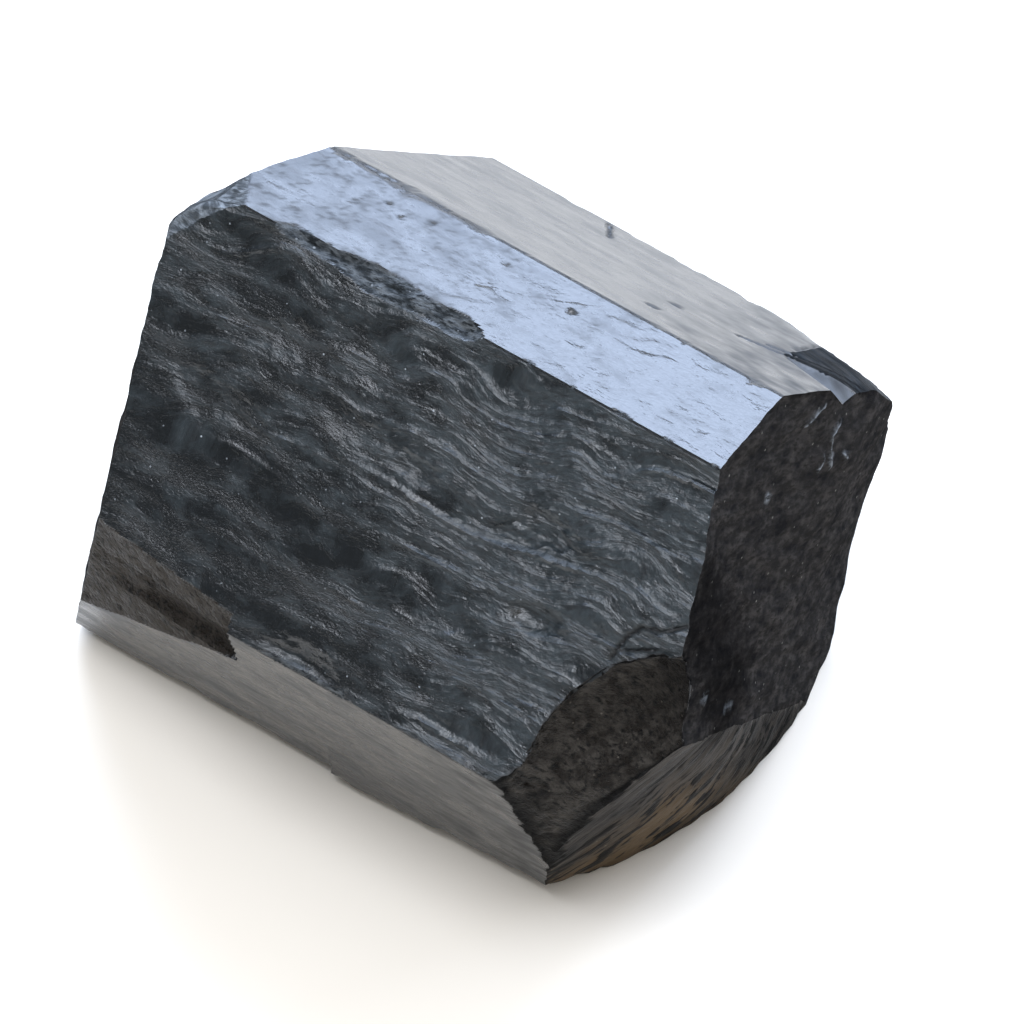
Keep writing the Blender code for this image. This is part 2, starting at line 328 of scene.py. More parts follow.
def lineGap(a, b, points):
    # distance from a place to a chain of points
    best = 1e9
    for (a0, b0), (a1, b1) in zip(points, points[1:]):
        da, db = a1 - a0, b1 - b0
        t = ((a - a0) * da + (b - b0) * db) / (da * da + db * db)
        t = min(1.0, max(0.0, t))
        best = min(best, math.hypot(a - a0 - t * da, b - b0 - t * db))
    return best


def grooveDepth(a, b, chains, width, depth):
    gap = min(lineGap(a, b, chain) for chain in chains)
    gap += 0.3 * width * noise.noise((a / 0.8, b / 0.8, 4.4))
    return depth * (1.0 - easeStep(0.0, width, gap))


def pitDepth(a, b, pits):
    depth = 0.0
    for x, across, length, width, deepest in pits:
        if abs(a - x) > 1.5 * length or abs(b - across) > 1.5 * width:
            continue
        size = math.hypot((a - x) / length, (b - across) / width)
        size += 0.35 * noise.noise((a / 0.9, b / 0.6, x))
        if size < 1.0:
            depth += deepest * (1.0 - size * size)
    return depth


def breakRelief(y, z, seed):
    # coarse waves and rubble, drawn out along the crease of the bevel
    along, beyond = creasePlace(y, z)
    run = along * creaseLength() / fracture["stretch"]
    grain = fracture["grain"]
    rise = fracture["roughness"] * layered(run / grain, beyond / grain, seed, 2)
    for grain, height in fracture["rubble"]:
        rise += height * (1.0 - 2.0 * abs(noise.noise((run / grain, beyond / grain, seed))))
    return rise


def rightX(y, z):
    along, beyond = creasePlace(y, z)
    x = planeX(crystal["rightBreak"], y, z) - bevelDrop(along, beyond) + bulgeRise(y, z)
    if beyond > 0.0:
        for run, spacing, depth in fracture["bevelStriae"]:
            x += depth * noise.noise((along * creaseLength() / spacing, beyond / run, 9.1))
        return x + breakRelief(y, z, 3.1) * (1.0 - 0.6 * easeStep(0.0, 1.0, beyond))
    gap = min(lineGap(y, z, ridge) for ridge in fracture["ridges"])
    x += fracture["ridgeHeight"] * (1.0 - easeStep(0.0, fracture["ridgeWidth"], gap))
    return x + breakRelief(y, z, 3.1)


def endMarks(y, z):
    # the bevel is brown towards the rest face, and nearly black along that edge; the break above
    # it is painted pale on its raised ridges and in a few spots, as painted highlights
    along, beyond = creasePlace(y, z)
    if beyond <= 0.0:
        width, most, ragged = fracture["paintedHighlight"]
        ridge = min(lineGap(y, z, chain) for chain in fracture["ridges"])
        highlightSpots = min(lineGap(y, z, chain) for chain in fracture["highlightSpots"])
        gap = min(ridge, 0.5 * highlightSpots) + ragged * layered(y / 0.9, z / 0.9, 67.0, 2)
        return most * (1.0 - easeStep(0.0, width, gap)), 0.0
    along += 0.09 * layered(y / 3.5, z / 3.5, 61.0, 3)
    tintAndHighlight = easeStep(*fracture["brownAlong"], along) * easeStep(*fracture["brownBeyond"], beyond)
    return tintAndHighlight, fracture["darkMost"] * easeStep(*fracture["darkAlong"], along)


def leftX(y, z):
    return max(planeX(plane, y, z) for plane in crystal["leftBreaks"]) + breakRelief(y, z, 8.7)


def ledgeProfile(tread, riser):
    # from the lip a ledge dips fast, rises slowly, and climbs the riser to the next lip
    lip = 1.0 - min(1.0, tread / broadFace["lipShare"])
    low = (1.0 - lip * lip) * (1.0 - broadFace["fallBack"] * tread)
    return low * (1.0 - easeStep(1.0 - riser, 1.0, tread))


def silkShare(x, across):
    # the broad face is silkier towards its right end and its upper edge, and its colour is lighter
    # there as a painted sheen
    share = -broadFace["silkAndSheenHeldBack"]
    for name, place in (("silkAndSheenAlong", x), ("silkAndSheenAcross", across)):
        start, end, most = broadFace[name]
        share += most * easeStep(start, end, place)
    run, width, strength = broadFace["silkAndSheenPatches"]
    share += strength * layered(x / run, across / width, 71.0, 2)
    return min(1.0, max(0.0, share))


def sideSilk(face, x, across):
    # the upper face is glossier towards its right end
    if face == "upper":
        return easeStep(*upperFace["gloss"], x)
    return silkShare(x, across) if face == "broad" else 0.5


def broadRelief(x, across):
    # returns the depth, how dark a crack it is in, and the line of flow that the fibres follow
    depth, swing = 0.0, 0.0
    for pitch, height, wander, run, seed in broadFace["ledges"]:
        a, b = x / run, across / (1.6 * pitch)
        swing = 0.6 * swing + wander * layered(a, b, seed, 2)
        phase = (across - broadFace["lean"] * x + swing) / pitch
        strength = max(0.0, 0.35 + 1.3 * noise.noise((1.7 * a, 1.7 * b, 1.7 * seed)))
        riser = broadFace["riser"] / pitch
        depth += height * strength * ledgeProfile(phase - math.floor(phase), riser)
    depth += pitDepth(x, across, broadFace["hollows"])
    grain = broadFace["grain"]
    depth += broadFace["grainDepth"] * layered(x / grain, across / grain, 31.0, 2)
    crackAndShade = grooveDepth(x, across, broadFace["cracks"], broadFace["crackWidth"], 1.0)
    calm = easeStep(broadFace["calmFrom"], broadFace["calmTo"], x)
    depth *= 0.5 + silkShare(x, across)
    flow = across - broadFace["lean"] * x + swing
    return depth * calm + broadFace["crackDepth"] * crackAndShade, crackAndShade, flow


def upperRelief(x, across):
    patch = layered(x / upperFace["patchRun"], across / upperFace["patchAcross"], 6.6, 2)
    depth = upperFace["patchDepth"] * (easeStep(0.0, 0.45, patch) + easeStep(0.45, 0.85, patch))
    depth += upperFace["patchDepth"] * (1.0 - easeStep(-0.65, -0.30, patch))
    pits = pitDepth(x, across, upperFace["pits"])
    swirl = grooveDepth(x, across, upperFace["swirls"], upperFace["swirlWidth"], 1.0)
    run, spacing, width, height, dullness = upperFace["wrinkles"]
    wrinkle = 1.0 - easeStep(0.0, width, abs(layered(x / run, across / spacing, 16.0, 3)))
    wrinkle *= 1.0 - 0.6 * easeStep(*upperFace["gloss"], x)
    depth += pits + upperFace["swirlDepth"] * swirl - height * wrinkle
    # the pits are painted dark, as painted shade in them
    return depth, max(min(1.0, 4.0 * pits), dullness * wrinkle), across


def striae(x, across, systems):
    depth = 0.0
    for run, spacing, height, seed in systems:
        depth += height * (0.5 + noise.noise((x / run, across / spacing, seed)))
    return depth


def backUpperRelief(x, across):
    look = backUpperFace
    pits = pitDepth(x, across, look["pits"])
    depth = striae(x, across, look["flow"]) + pits
    depth -= look["glintHeight"] * grooveDepth(x, across, look["glints"], look["glintWidth"], 1.0)
    start, end, most = look["dull"]
    dull = most * easeStep(start, end, x) * (0.7 + layered(x / 2.5, across / 1.2, 93.0, 3))
    crackAndShade = grooveDepth(x, across, look["cracks"], look["crackWidth"], 1.0)
    groove = grooveDepth(x, across, look["grooves"], look["crackWidth"], 1.0)
    depth += look["crackDepth"] * max(crackAndShade, groove)
    # the pits are painted dark, as painted shade in them
    return depth, max(crackAndShade, groove, min(1.0, 6.0 * pits), dull), across


def slabGap(x, across):
    # how far inside the sunken slab a place lies
    startX, startAcross = notch["start"]
    if x <= startX:
        return x - startX
    return across - startAcross - notch["slabTurn"] * min(notch["run"], x - startX)


def notchDepth(x, across):
    # depth below the back upper face
    startX, startAcross = notch["start"]
    past = max(0.0, across - notch["roundFrom"])
    curved = min(past, notch["roundOver"])
    rounded = notch["roundRate"] * curved * (2.0 * past - curved)
    rounded *= easeStep(startX - notch["roundLead"], startX, x)
    opened = min(notch["run"], max(0.0, x - startX))
    bend = startAcross + notch["bendTurn"] * opened
    if opened == 0.0 or across <= bend:
        return rounded
    foot = startAcross + notch["footTurn"] * opened
    bank = startAcross + notch["slabTurn"] * opened
    deepest = notch["footSlope"] * opened
    if across < foot:
        return deepest * (across - bend) / (foot - bend)
    slab = notch["slabSlope"] * opened
    slab += notch["endRoundRate"] * max(0.0, x - notch["endRoundFrom"]) ** 2
    if across < bank:
        climbed = (across - foot) / (bank - foot)
        return deepest * (1.0 - climbed) + slab * climbed
    return slab + rounded


def sinkNotch(point, corner, onEnd):
    # returns the point and whether it is inside the sunken slab
    out = sideNormal("backUpper")
    offset = Vector((point.y, point.z)) - corner
    across = offset.dot(Vector((out.y, -out.x)))
    inside = slabGap(point.x, across)
    if not onEnd and abs(inside) < notch["snap"] and across > notch["start"][1]:
        # slide it onto the slab's border, to keep the border clean
        if point.x < notch["start"][0] + notch["snap"]:
            point = Vector((notch["start"][0], point.y, point.z))
        else:
            point = point - Vector((0.0, out.y, -out.x)) * inside
            across -= inside
        inside = 0.0
    depth = notchDepth(point.x, across)
    below = -offset.dot(out)
    shift = depth - below
    if onEnd:
        shift = depth * (1.0 - max(0.0, below) / notch["spread"])
    back = sideNormal("back")
    onBack = not onEnd and inside > 0.0 and below > notch["backFrom"]
    if onBack and abs(shift) < notch["backSnap"]:
        # here it slides along the back face
        rate = back.x * out.y - back.y * out.x
        return point + Vector((0.0, back.y, -back.x)) * (shift / rate), False
    if shift <= 0.0:
        return point, False
    return point - Vector((0.0, out.x, out.y)) * shift, inside > 0.0 and not onEnd


def faceRelief(face, x, across, width):
    # how far a point lies below the flat face, its crack, and its line of flow
    if face == "rest":
        return 0.0, 0.0, across
    if face == "broad":
        depth, crackAndShade, flow = broadRelief(x, across)
    elif face == "upper":
        depth, crackAndShade, flow = upperRelief(x, across)
    elif face == "backUpper":
        depth, crackAndShade, flow = backUpperRelief(x, across)
    else:
        depth, crackAndShade, flow = striae(x, across, striatedFaces[face]), 0.0, across
    if face == "front":
        start, end, most = crystal["frontDarkening"]
        crackAndShade = most * easeStep(start, end, x) * (0.6 + layered(x / 3.0, across / 0.8, 91.0, 3))
    fade = easeStep(0.0, crystal["edgeFade"], min(across, width - across))
    return depth * fade, crackAndShade, flow


def knockCorners(point):
    # cut the corners off; returns the point and the cut that it lies on
    hit = None
    for name, (place, normal, reach) in crystal["cornerCuts"].items():
        place, normal = Vector(place), Vector(normal).normalized()
        above = (point - place).dot(normal)
        if above <= 0.0 or point.x >= reach:
            continue
        point = point - normal * above
        grain, height = crystal["cutRubble"]
        rough = height * layered(point.x / grain, (point.y + point.z) / grain, 41.0, 3)
        if name == "bottomLeft":
            inside = easeStep(*fracture["chipOpens"], point.z)
            inside *= 1.0 - easeStep(*fracture["chipCloses"], point.z)
            rough += fracture["chipGroove"] * inside * easeStep(*fracture["chipRun"], point.x)
        point = point - normal * max(0.0, rough)
        hit = name
    return point, hit


def hollowGap(point):
    # how far a point lies inside the hollow and its cut together, and which way leads out
    look = crystal["hollow"]
    out = Vector((0.0, *sideNormal("broad")))
    offset = point - Vector(look["centre"])
    height = offset.dot(out)
    flat = offset - out * height
    size = math.hypot(flat.length / look["reach"], height / look["depth"])
    slope = (flat / look["reach"] ** 2 + out * (height / look["depth"] ** 2)) / max(size, 0.05)
    inside = (1.0 - size) / slope.length
    cutNormal = Vector(look["cutNormal"]).normalized()
    above = (point - Vector(look["cutPoint"])).dot(cutNormal)
    share = min(1.0, max(0.0, 0.5 + 0.5 * (inside - above) / look["blend"]))
    gap = above + (inside - above) * share + look["blend"] * share * (1.0 - share)
    way = slope.normalized() * share - cutNormal * (1.0 - share)
    return gap, way.normalized()


def rimGap(point):
    ragged = layered(point.x / 1.8, (point.y - point.z) / 1.8, 51.0, 3)
    return hollowGap(point)[0] + crystal["hollow"]["ragged"] * ragged


def slideToRim(point):
    # slide a point that is nearly on the hollow's rim along X onto it, to keep the rim clean
    moved, step = point, Vector((0.05, 0.0, 0.0))
    for turn in range(3):
        here = rimGap(moved)
        slope = (rimGap(moved + step) - here) / step.x
        if abs(slope) < 0.1:
            return point, False
        moved = moved - Vector((here / slope, 0.0, 0.0))
        if abs(moved.x - point.x) > crystal["hollow"]["rimReach"]:
            return point, False
    return moved, True


def slideOnEnd(endX, y, z, reach):
    # the same for a point of a broken end, which slides over the end instead
    def gapAt(a, b):
        return rimGap(Vector((endX(a, b), a, b)))
    a, b, step = y, z, 0.05
    for turn in range(3):
        here = gapAt(a, b)
        if abs(here) > 3.0 * reach:
            return y, z, False
        slopeY = (gapAt(a + step, b) - here) / step
        slopeZ = (gapAt(a, b + step) - here) / step
        steep = max(0.01, slopeY * slopeY + slopeZ * slopeZ)
        a, b = a - here * slopeY / steep, b - here * slopeZ / steep
        if math.hypot(a - y, b - z) > reach:
            return y, z, False
    return a, b, True


def digHollow(point):
    # returns the point, whether it was dug away and how dark the painted shade along the hollow's
    # rim is there
    inside = rimGap(point)
    if inside <= 0.0:
        return point, False, 0.0
    rim = 1.0 - easeStep(0.0, crystal["hollow"]["rimShadeWidth"], inside)
    gap, way = hollowGap(point)
    for turn in range(6):
        point = point + way * max(0.0, gap)
        gap, way = hollowGap(point)
    rough = 0.0
    for grain, height in fracture["shellRubble"]:
        rough += height * layered(point.y / grain, point.z / grain, point.x / grain, 3)
    return point + way * rough * easeStep(0.0, crystal["hollow"]["fadeIn"], inside), True, rim


def shadeAt(point):
    # how much painted shade a point gets for lying near the middle of the worst broken place
    start, end, near, far, most = crystal["shade"]
    start, run = Vector(start), Vector(end) - Vector(start)
    t = min(1.0, max(0.0, (point - start).dot(run) / run.length_squared))
    grain, ragged = crystal["shadeBorder"]
    gap = (point - start - run * t).length
    gap += ragged * layered(point.y / grain, point.z / grain, 81.0, 3)
    return most * (1.0 - easeStep(near, far, gap))


def swellFront(point, edge):
    near = math.hypot(point.y - edge[0], point.z - edge[1]) / crystal["swellSpread"]
    start, end = crystal["swellRange"]
    if near >= 1.0 or not start < point.x < end:
        return point
    rise = crystal["swellHeight"] * (1.0 - near) * (end - point.x) / (end - start)
    return point + Vector((0.0, *sideNormal("front"))) * rise


def chipDepth(face, x, gap):
    size, heldBack, length, seed = edgeWear[face]
    depth = size * max(0.0, layered(x / length, 0.5 * gap, seed, 3) - heldBack)
    if face in brokenStretches:
        start, end, broken = brokenStretches[face]
        inside = easeStep(start, start + stretchFade, x)
        inside *= 1.0 - easeStep(end - stretchFade, end, x)
        depth += broken * inside * (0.9 + 0.5 * layered(x / 3.2, gap / 2.0, seed + 20.0, 3))
    return depth


def wearEdges(point, corners, cornerNormals):
    # break the long edges flat; returns the point and how deep the break is
    deepest = 0.0
    for index, face in enumerate(crystal["sides"]):
        gap = math.hypot(point.y - corners[index].x, point.z - corners[index].y)
        if gap > crystal["wearReach"] or face not in edgeWear:
            continue
        normal = cornerNormals[index]
        slope = math.sqrt(max(0.0, 1.0 - normal.dot(sideNormal(face)) ** 2))
        amount = chipDepth(face, point.x, gap) - gap * slope
        if amount > 0.0:
            point = point - Vector((0.0, normal.x, normal.y)) * amount
            if face not in crystal["glossyWear"]:
                deepest = max(deepest, amount)
    return point, deepest


def cornerNormal(index):
    names = list(crystal["sides"])
    lean = crystal["wearLean"].get(names[index], 0.5)
    return sideNormal(names[index - 1]).lerp(sideNormal(names[index]), lean).normalized()


class CrystalMesh:
    def __init__(self):
        self.vertices, self.faces, self.kinds = [], [], []
        self.cracks, self.flows, self.stains, self.silks, self.broken = [], [], [], [], []
        self.corners = prismCorners()
        self.cornerNormals = [cornerNormal(index) for index in range(len(self.corners))]

    def addPoint(self, x, y, z, crackAndShade, flow, tintAndHighlight, onEnd, onRim=False):
        point, chipped = wearEdges(Vector((x, y, z)), self.corners, self.cornerNormals)
        point, cut = knockCorners(point)
        point, sunk = sinkNotch(swellFront(point, self.corners[0]), self.corners[3], onEnd)
        if not onEnd:
            point, onRim = slideToRim(point)
        # points on the hollow's rim get the rim's full painted shade
        dug, rim = False, crystal["hollow"]["rimShade"]
        if not onRim:
            point, dug, rim = digHollow(point)
        hit = "chip" if chipped > crystal["chipShows"] else None
        hit = "hollow" if dug else cut or ("slab" if sunk else hit)
        self.vertices.append(point * mm)
        # painted shade on the hollow and the broken ends near the darkest place
        shade = shadeAt(point) if dug or onEnd else 0.0
        self.cracks.append(max(crackAndShade, rim, shade))
        self.flows.append(flow * mm)
        self.stains.append(crystal["hitStains"].get(hit, tintAndHighlight))
        self.broken.append(hit)

    def addFace(self, face, kind):
        # a face takes the finish of the break it touches; chips and the slab are on the sides
        hits = [self.broken[index] for index in face]
        if kind in ("fractured", "bevelled"):
            hits = [None if hit in ("chip", "slab") else hit for hit in hits]
        if "hollow" in hits or "slab" in hits:
            kind = crystal["hitKinds"]["hollow" if "hollow" in hits else "slab"]
        elif sum(hit is not None for hit in hits) >= 2:
            most = max(hits, key=lambda hit: (hits.count(hit), str(hit)))
            kind = crystal["hitKinds"][most or "chip"]
        self.faces.append(face)
        self.kinds.append(kinds.index(kind))


def addSides(build, outline):
    rows = crystal["rows"]
    count = len(outline)
    ends = [(leftX(*place), rightX(*place)) for place, *_ in outline]
    for row in range(rows + 1):
        for (place, face, across, width), (start, end) in zip(outline, ends):
            x = start + (end - start) * row / rows
            out = sideNormal(face)
            sunk, crackAndShade, flow = faceRelief(face, x, across, width)
            build.addPoint(x, place.x - out.x * sunk, place.y - out.y * sunk, crackAndShade, flow, 0.0,
                           False)
            build.silks.append(sideSilk(face, x, across))
    for row in range(rows):
        for step in range(count):
            kind = sideKinds.get(outline[step][1], "grown")
            a = row * count + step
            b = row * count + (step + 1) % count
            build.addFace((a, b + count, b), kind)
            build.addFace((a, a + count, b + count), kind)


def creasePoints(spacing):
    top, foot = Vector(crystal["creaseTop"]), Vector(crystal["creaseFoot"])
    steps = round((foot - top).length / spacing)
    return [top.lerp(foot, step / steps) for step in range(1, steps)]


def ridgePoints():
    # closely spaced points on the ridges and the painted highlight spots and beside them
    made, spacing = [], fracture["lineSpacing"]
    for chain in fracture["ridges"] + fracture["highlightSpots"]:
        for start, end in zip(chain, chain[1:]):
            start, run = Vector(start), Vector(end) - Vector(start)
            beside = Vector((run.y, -run.x)).normalized() * spacing
            steps = math.ceil(run.length / spacing)
            for step in range(steps):
                spot = start + run * (step / steps)
                made += [spot, spot + beside, spot - beside]
    return made


def endGrid(outline, spacing, creased):
    # points inside the outline on a staggered grid, and on the crease and ridges if it has them
    low = Vector((min(place.x for place, *_ in outline), min(place.y for place, *_ in outline)))
    high = Vector((max(place.x for place, *_ in outline), max(place.y for place, *_ in outline)))
    axis = Vector(crystal["axis"])
    rise = spacing * math.sqrt(3.0) / 2.0
    marked = fracture["ridges"] + fracture["highlightSpots"]
    points = creasePoints(spacing) + ridgePoints() if creased else []
    for row in range(int((high.y - low.y) / rise) + 1):
        for column in range(int((high.x - low.x) / spacing) + 1):
            spot = low + Vector((column * spacing + 0.5 * spacing * (row % 2), row * rise))
            inset = min(crystal["sides"][face][1] - sideNormal(face).dot(spot - axis)
                        for face in crystal["sides"])
            along, beyond = creasePlace(spot.x, spot.y)
            taken = creased and 0.0 < along < 1.0 and abs(beyond) < 0.6 * spacing
            if creased and not taken:
                taken = min(lineGap(*spot, chain) for chain in marked) < spacing
            if inset > 0.6 * spacing and not taken:
                points.append(spot)
    return points


def addEnd(build, outline, spacing, endX, firstRing, flip):
    count = len(outline)
    inner = endGrid(outline, spacing, not flip)
    flat = [place for place, *_ in outline] + inner
    rim = [(step, (step + 1) % count) for step in range(count)]
    _, _, triangles, sources, _, _ = delaunay_2d_cdt(flat, rim, [], 1, 1e-6)
    number = {}
    for index, source in enumerate(sources):
        old = min(source)
        number[index] = firstRing + old
        if old >= count:
            number[index] = len(build.vertices)
            y, z, onRim = *inner[old - count], False
            if not flip:
                reach = crystal["hollow"]["endReach"] * spacing
                y, z, onRim = slideOnEnd(endX, y, z, reach)
            tintAndHighlight, dark = (0.0, 0.0) if flip else endMarks(y, z)
            build.addPoint(endX(y, z), y, z, dark, z, tintAndHighlight, True, onRim)
            build.silks.append(0.5)
    for triangle in triangles:
        face = tuple(number[index] for index in triangle)
        y = sum(build.vertices[index].y for index in face) / 3.0 / mm
        z = sum(build.vertices[index].z for index in face) / 3.0 / mm
        bevelled = not flip and creasePlace(y, z)[1] > 0.0
        build.addFace(face[::-1] if flip else face, "bevelled" if bevelled else "fractured")


def linearColour(code):
    parts = [int(code[index:index + 2], 16) / 255.0 for index in (1, 3, 5)]
    return tuple(part / 12.92 if part <= 0.04045 else ((part + 0.055) / 1.055) ** 2.4
                 for part in parts) + (1.0,)


def addNode(tree, kind, settings=None, links=None):
    # settings set a socket by its number or name, or else a property of the node
    node = tree.nodes.new(kind)
    for name, value in (settings or {}).items():
        if isinstance(name, int) or name in node.inputs:
            node.inputs[name].default_value = value
        else:
            setattr(node, name, value)
    for name, source in (links or {}).items():
        tree.links.new(source, node.inputs[name])
    return node


def stretchedNoise(tree, place, size, detail, turn):
    # noise with one size along the fibres and another across them, both in millimetres
    run, across = size
    moved = addNode(tree, "ShaderNodeMapping", {
        "vector_type": "TEXTURE", "Scale": (run * mm, across * mm, across * mm), "Rotation": turn,
    }, {"Vector": place})
    made = addNode(tree, "ShaderNodeTexNoise", {"Scale": 1.0, "Detail": detail, "Roughness": 0.6},
                   {"Vector": moved.outputs[0]})
    return made.outputs["Fac"]


def flowPlace(tree, place):
    # a place as its distance along the crystal and along its line of flow
    split = addNode(tree, "ShaderNodeSeparateXYZ", links={0: place})
    flow = addNode(tree, "ShaderNodeAttribute", {"attribute_name": "flow"})
    joined = addNode(tree, "ShaderNodeCombineXYZ",
                     links={0: split.outputs[0], 1: flow.outputs["Fac"]})
    return joined.outputs[0], flow.outputs["Fac"]


def fineLedges(tree, place, flow, silkAndSheen, pitch, wander, sharp):
    # sharp little steps that follow the flow, each highest at its lip
    bend = stretchedNoise(tree, place, (5.0 * pitch, 2.2 * pitch), 3.0, (0.0, 0.0, 0.0))
    shift = addNode(tree, "ShaderNodeMath", {"operation": "MULTIPLY", 1: wander}, {0: bend})
    phase = addNode(tree, "ShaderNodeMath", {"operation": "MULTIPLY_ADD", 1: 1.0 / (pitch * mm)},
                    {0: flow, 2: shift.outputs[0]})
    tread = addNode(tree, "ShaderNodeMath", {"operation": "FRACT"}, {0: phase.outputs[0]})
    lip = addNode(tree, "ShaderNodeMath", {"operation": "SUBTRACT", 0: 1.0}, {1: tread.outputs[0]})
    curl = addNode(tree, "ShaderNodeMath", {"operation": "POWER", 1: sharp}, {0: lip.outputs[0]})
    share = stretchedNoise(tree, place, (3.4 * pitch, 1.6 * pitch), 2.0, (0.0, 0.0, 0.4))
    strength = addNode(tree, "ShaderNodeMapRange", {"From Min": 0.42, "From Max": 0.66},
                       {"Value": share})
    made = addNode(tree, "ShaderNodeMath", {"operation": "MULTIPLY"},
                   {0: curl.outputs[0], 1: strength.outputs[0]})
    silky = addNode(tree, "ShaderNodeMath", {"operation": "MULTIPLY"},
                    {0: made.outputs[0], 1: silkAndSheen})
    return silky.outputs[0]


# cracks darken towards this colour, and so does the painted shade on the hollow's rim, in pits and
# on the right end's darkest place
crackAndShadeColour = "#050505"
crackAndShadeDulls = 0.35
# how the strengths of the flecks and painted glints spread
fleckAndGlintSpread = (0.3, 0.9)


def mixColour(tree, factor, under, over):
    # under is a colour code or a socket, over a colour code
    settings, links = {"data_type": "RGBA", 7: linearColour(over)}, {0: factor}
    if isinstance(under, str):
        settings[6] = linearColour(under)
    else:
        links[6] = under
    return addNode(tree, "ShaderNodeMix", settings, links).outputs[2]


def mapped(tree, value, low, high, start=0.0, end=1.0):
    return addNode(tree, "ShaderNodeMapRange", {"From Min": low, "From Max": high, "To Min": start,
                                                "To Max": end}, {"Value": value}).outputs[0]


def surfaceMaterial(look):
    # one recipe for all the finishes; each dictionary says what its surface is like
    look = {**mineral, **look}
    material = bpy.data.materials.new(look["name"])
    material.use_nodes = True
    tree = material.node_tree
    shader = tree.nodes["Principled BSDF"]
    shader.inputs["IOR"].default_value = look["ior"]
    shader.inputs["Specular IOR Level"].default_value = look["specular"]
    plain = addNode(tree, "ShaderNodeTexCoord").outputs["Object"]
    place, flow = plain, None
    turn = tuple(Vector(look["fibres"]).to_track_quat("X", "Z").to_euler())
    if look["fibres"] == mineral["fibres"]:
        place, flow = flowPlace(tree, plain)
    patches = stretchedNoise(tree, place, look["patches"], 4.0, turn)
    streaks = stretchedNoise(tree, place, look["streaks"], 3.0, turn)
    grain = stretchedNoise(tree, place, look["grain"], 3.0, turn)
    # silk shifts colour and roughness; on the broad face it lightens the colour as a painted sheen
    silkAndSheen = addNode(tree, "ShaderNodeAttribute", {"attribute_name": "silkAndSheen"}).outputs["Fac"]
    share = addNode(tree, "ShaderNodeMath", {"operation": "MULTIPLY_ADD", 1: look["silkAndSheenPull"]},
                    {0: silkAndSheen, 2: patches})
    patch = mapped(tree, share.outputs[0], *look["patchRange"])
    colour = mixColour(tree, patch, look["dark"], look["light"])
    # this tint holds the stains, the bevel's brown and the painted highlights on the fractured end
    tintAndHighlight = addNode(tree, "ShaderNodeAttribute", {"attribute_name": "tintAndHighlight"}).outputs["Fac"]
    colour = mixColour(tree, tintAndHighlight, colour, look["tintAndHighlight"])
    colour = mixColour(tree, mapped(tree, streaks, *look["streakRange"]), colour, look["streak"])
    # flecks; on the rough fracture the pale ones are painted glints
    spacing, size, fleckAndGlint = look["flecksAndGlints"]
    cells = addNode(tree, "ShaderNodeTexVoronoi", {"Scale": 1.0 / (spacing * mm)},
                    {"Vector": plain})
    specks = mapped(tree, cells.outputs["Distance"], 0.6 * size / spacing, 0.4 * size / spacing)
    some = addNode(tree, "ShaderNodeMath", {"operation": "MULTIPLY"},
                   {0: specks, 1: mapped(tree, cells.outputs["Color"], *fleckAndGlintSpread)})
    colour = mixColour(tree, some.outputs[0], colour, fleckAndGlint)
    # cracks, and painted shade on the hollow's rim, in pits and on the right end
    crackAndShade = addNode(tree, "ShaderNodeAttribute", {"attribute_name": "crackAndShade"}).outputs["Fac"]
    colour = mixColour(tree, crackAndShade, colour, crackAndShadeColour)
    tree.links.new(colour, shader.inputs["Base Color"])
    rough = mapped(tree, patch, 0.0, 1.0, look["smooth"], look["rough"])
    rougher = addNode(tree, "ShaderNodeMath", {"operation": "MULTIPLY_ADD", 1: crackAndShadeDulls},
                      {0: crackAndShade, 2: rough})
    tree.links.new(rougher.outputs[0], shader.inputs["Roughness"])
    heights = list(zip((patches, streaks, grain), look["bumps"]))
    for pitch, wander, sharp, height in look.get("fineLedges", ()):
        heights.append((fineLedges(tree, place, flow, silkAndSheen, pitch, wander, sharp), height))
    normal = None
    for source, height in heights:
        bump = addNode(tree, "ShaderNodeBump", {"Strength": 1.0, "Distance": height * mm},
                       {"Height": source})
        if normal:
            tree.links.new(normal, bump.inputs["Normal"])
        normal = bump.outputs[0]
    tree.links.new(normal, shader.inputs["Normal"])
    return material
